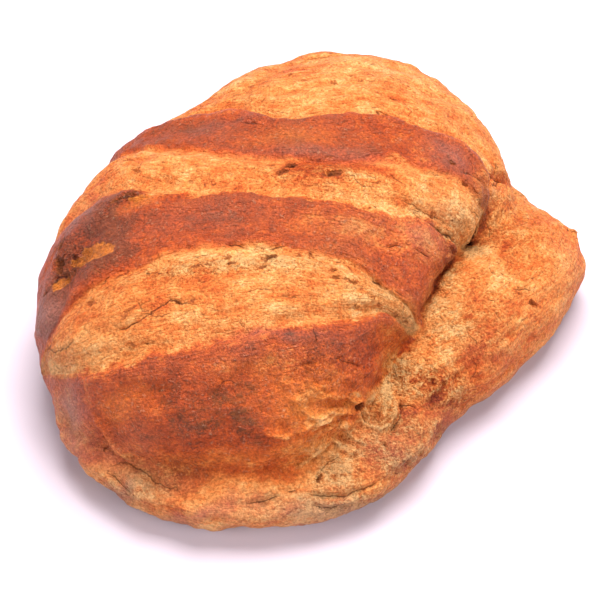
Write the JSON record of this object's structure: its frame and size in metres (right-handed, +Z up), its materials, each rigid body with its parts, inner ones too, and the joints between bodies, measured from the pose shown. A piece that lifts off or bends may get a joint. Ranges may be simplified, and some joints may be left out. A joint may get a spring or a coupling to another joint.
{
  "type": "country loaf",
  "caption": "Large round-topped country loaf with slashed crust, a side lobe of dough and a flat base to stand on.",
  "frame": {"origin": "middle of the loaf's box at the level of its flat base", "axes": "+Z up out of the base, the slashes run roughly along X, the side lobe is towards +X and the front skirt towards -Y"},
  "size_m": [0.3006, 0.3024, 0.1125],
  "materials": {
    "crust": "baked bread crust, matt with a faint sheen, dark red-brown on the first skin and golden in the openings"
  },
  "bodies": {
    "root": {"loaf": "crust"}
  },
  "joints": []
}
